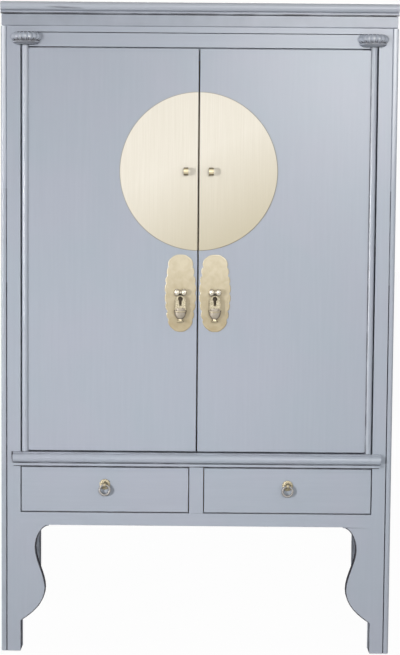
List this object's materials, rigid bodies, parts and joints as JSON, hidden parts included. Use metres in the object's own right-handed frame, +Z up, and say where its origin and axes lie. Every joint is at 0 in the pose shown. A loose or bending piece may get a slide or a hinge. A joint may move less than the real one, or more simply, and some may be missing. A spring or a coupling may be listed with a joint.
{
  "type": "chinese wedding cabinet",
  "caption": "Tall lacquered cupboard with a moulded top, pivot doors behind a round brass face plate, drop handles, ring-pull drawers and bracketed legs.",
  "frame": {"origin": "on the floor, under the middle of the object's box", "axes": "+Z up, -Y towards the front with the doors, +X to the right as seen from the front"},
  "size_m": [1.05, 0.5472, 1.7405],
  "materials": {
    "lacquer": "lavender blue-grey lacquer, rubbed through to dark wood along edges and joints",
    "plain_wood": "plain planed wood inside the cupboard and the drawers",
    "brass": "pale champagne brass, satin",
    "pale_brass": "pale silvery brass, cast and polished"
  },
  "bodies": {
    "carcass": {"top_board": "lacquer", "front_top_rail": "lacquer", "back_top_rail": "lacquer", "left_top_rail": "lacquer", "right_top_rail": "lacquer", "front_left_post": "lacquer", "front_right_post": "lacquer", "back_left_post": "lacquer", "back_right_post": "lacquer", "door_lintel": "lacquer", "left_capital": "lacquer", "right_capital": "lacquer", "waist_rail": "lacquer", "drawer_divider": "lacquer", "front_bottom_rail": "lacquer", "left_bracket": "lacquer", "right_bracket": "lacquer", "left_bottom_rail": "lacquer", "right_bottom_rail": "lacquer", "back_bottom_rail": "lacquer", "left_side_panel": "lacquer", "right_side_panel": "lacquer", "back_panel": "lacquer", "cupboard_floor": "plain_wood", "shelf": "plain_wood", "left_drawer_runner": "plain_wood", "middle_drawer_runner": "plain_wood", "right_drawer_runner": "plain_wood"},
    "left_door": {"left_door_leaf": "lacquer", "left_door_column": "lacquer", "left_door_upper_batten": "plain_wood", "left_door_lower_batten": "plain_wood", "left_disc": "brass", "left_lock_eye": "brass", "left_handle_plate": "brass", "left_handle_boss": "brass"},
    "left_handle": {"left_drop_handle": "pale_brass"},
    "left_drawer": {"left_drawer_front": "lacquer", "left_drawer_inner_side": "plain_wood", "left_drawer_outer_side": "plain_wood", "left_drawer_back": "plain_wood", "left_drawer_bottom": "plain_wood", "left_pull_rosette": "brass"},
    "left_ring": {"left_pull_ring": "pale_brass"},
    "right_door": {"right_door_leaf": "lacquer", "right_door_column": "lacquer", "right_door_upper_batten": "plain_wood", "right_door_lower_batten": "plain_wood", "right_disc": "brass", "right_lock_eye": "brass", "right_handle_plate": "brass", "right_handle_boss": "brass"},
    "right_handle": {"right_drop_handle": "pale_brass"},
    "right_drawer": {"right_drawer_front": "lacquer", "right_drawer_inner_side": "plain_wood", "right_drawer_outer_side": "plain_wood", "right_drawer_back": "plain_wood", "right_drawer_bottom": "plain_wood", "right_pull_rosette": "brass"},
    "right_ring": {"right_pull_ring": "pale_brass"}
  },
  "joints": [
    {"name": "left_door_swing", "type": "hinge", "parent": "carcass", "child": "left_door", "pos_m": [-0.4602, -0.24135, 0.546], "axis": [0, 0, -1], "range_deg": [0, 120]},
    {"name": "left_drawer_pull", "type": "slide", "parent": "carcass", "child": "left_drawer", "axis": [0, -1, 0], "range_m": [0, 0.3]},
    {"name": "left_handle_lift", "type": "hinge", "parent": "left_door", "child": "left_handle", "pos_m": [-0.046, -0.25765, 0.978], "axis": [-1, 0, 0], "range_deg": [0, 85]},
    {"name": "left_ring_lift", "type": "hinge", "parent": "left_drawer", "child": "left_ring", "pos_m": [-0.24588, -0.25395, 0.45825], "axis": [-1, 0, 0], "range_deg": [0, 90]},
    {"name": "right_door_swing", "type": "hinge", "parent": "carcass", "child": "right_door", "pos_m": [0.4602, -0.24135, 0.546], "axis": [0, 0, 1], "range_deg": [0, 120]},
    {"name": "right_drawer_pull", "type": "slide", "parent": "carcass", "child": "right_drawer", "axis": [0, -1, 0], "range_m": [0, 0.3]},
    {"name": "right_handle_lift", "type": "hinge", "parent": "right_door", "child": "right_handle", "pos_m": [0.046, -0.25765, 0.978], "axis": [-1, 0, 0], "range_deg": [0, 85]},
    {"name": "right_ring_lift", "type": "hinge", "parent": "right_drawer", "child": "right_ring", "pos_m": [0.24588, -0.25395, 0.45825], "axis": [-1, 0, 0], "range_deg": [0, 90]}
  ]
}
